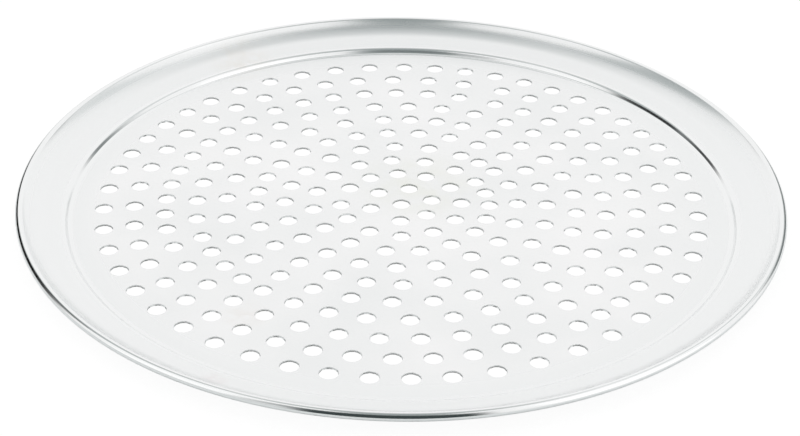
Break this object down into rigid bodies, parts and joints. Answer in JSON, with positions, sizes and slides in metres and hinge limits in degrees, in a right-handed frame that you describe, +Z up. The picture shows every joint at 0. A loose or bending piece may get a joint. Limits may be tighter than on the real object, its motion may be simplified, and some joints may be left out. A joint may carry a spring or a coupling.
{
  "type": "pizza pan",
  "caption": "Round perforated aluminium pizza pan with a flat well, a small step up to a wide rising rim, and an edge rolled over a wire hoop.",
  "frame": {"origin": "middle of the well's underside, the flat face that the pan rests on", "axes": "+Z up, out of the well, which is the axis that the pan is spun about; X and Y lie in the resting plane, with +X at azimuth 0 of the hole rings"},
  "size_m": [0.4063, 0.4064, 0.0132],
  "materials": {
    "aluminium_sheet": "satin, spun, uncoated",
    "galvanised_wire": "drawn and galvanised"
  },
  "bodies": {
    "root": {"perforated_pan": "aluminium_sheet", "rim_wire": "galvanised_wire"}
  },
  "joints": []
}
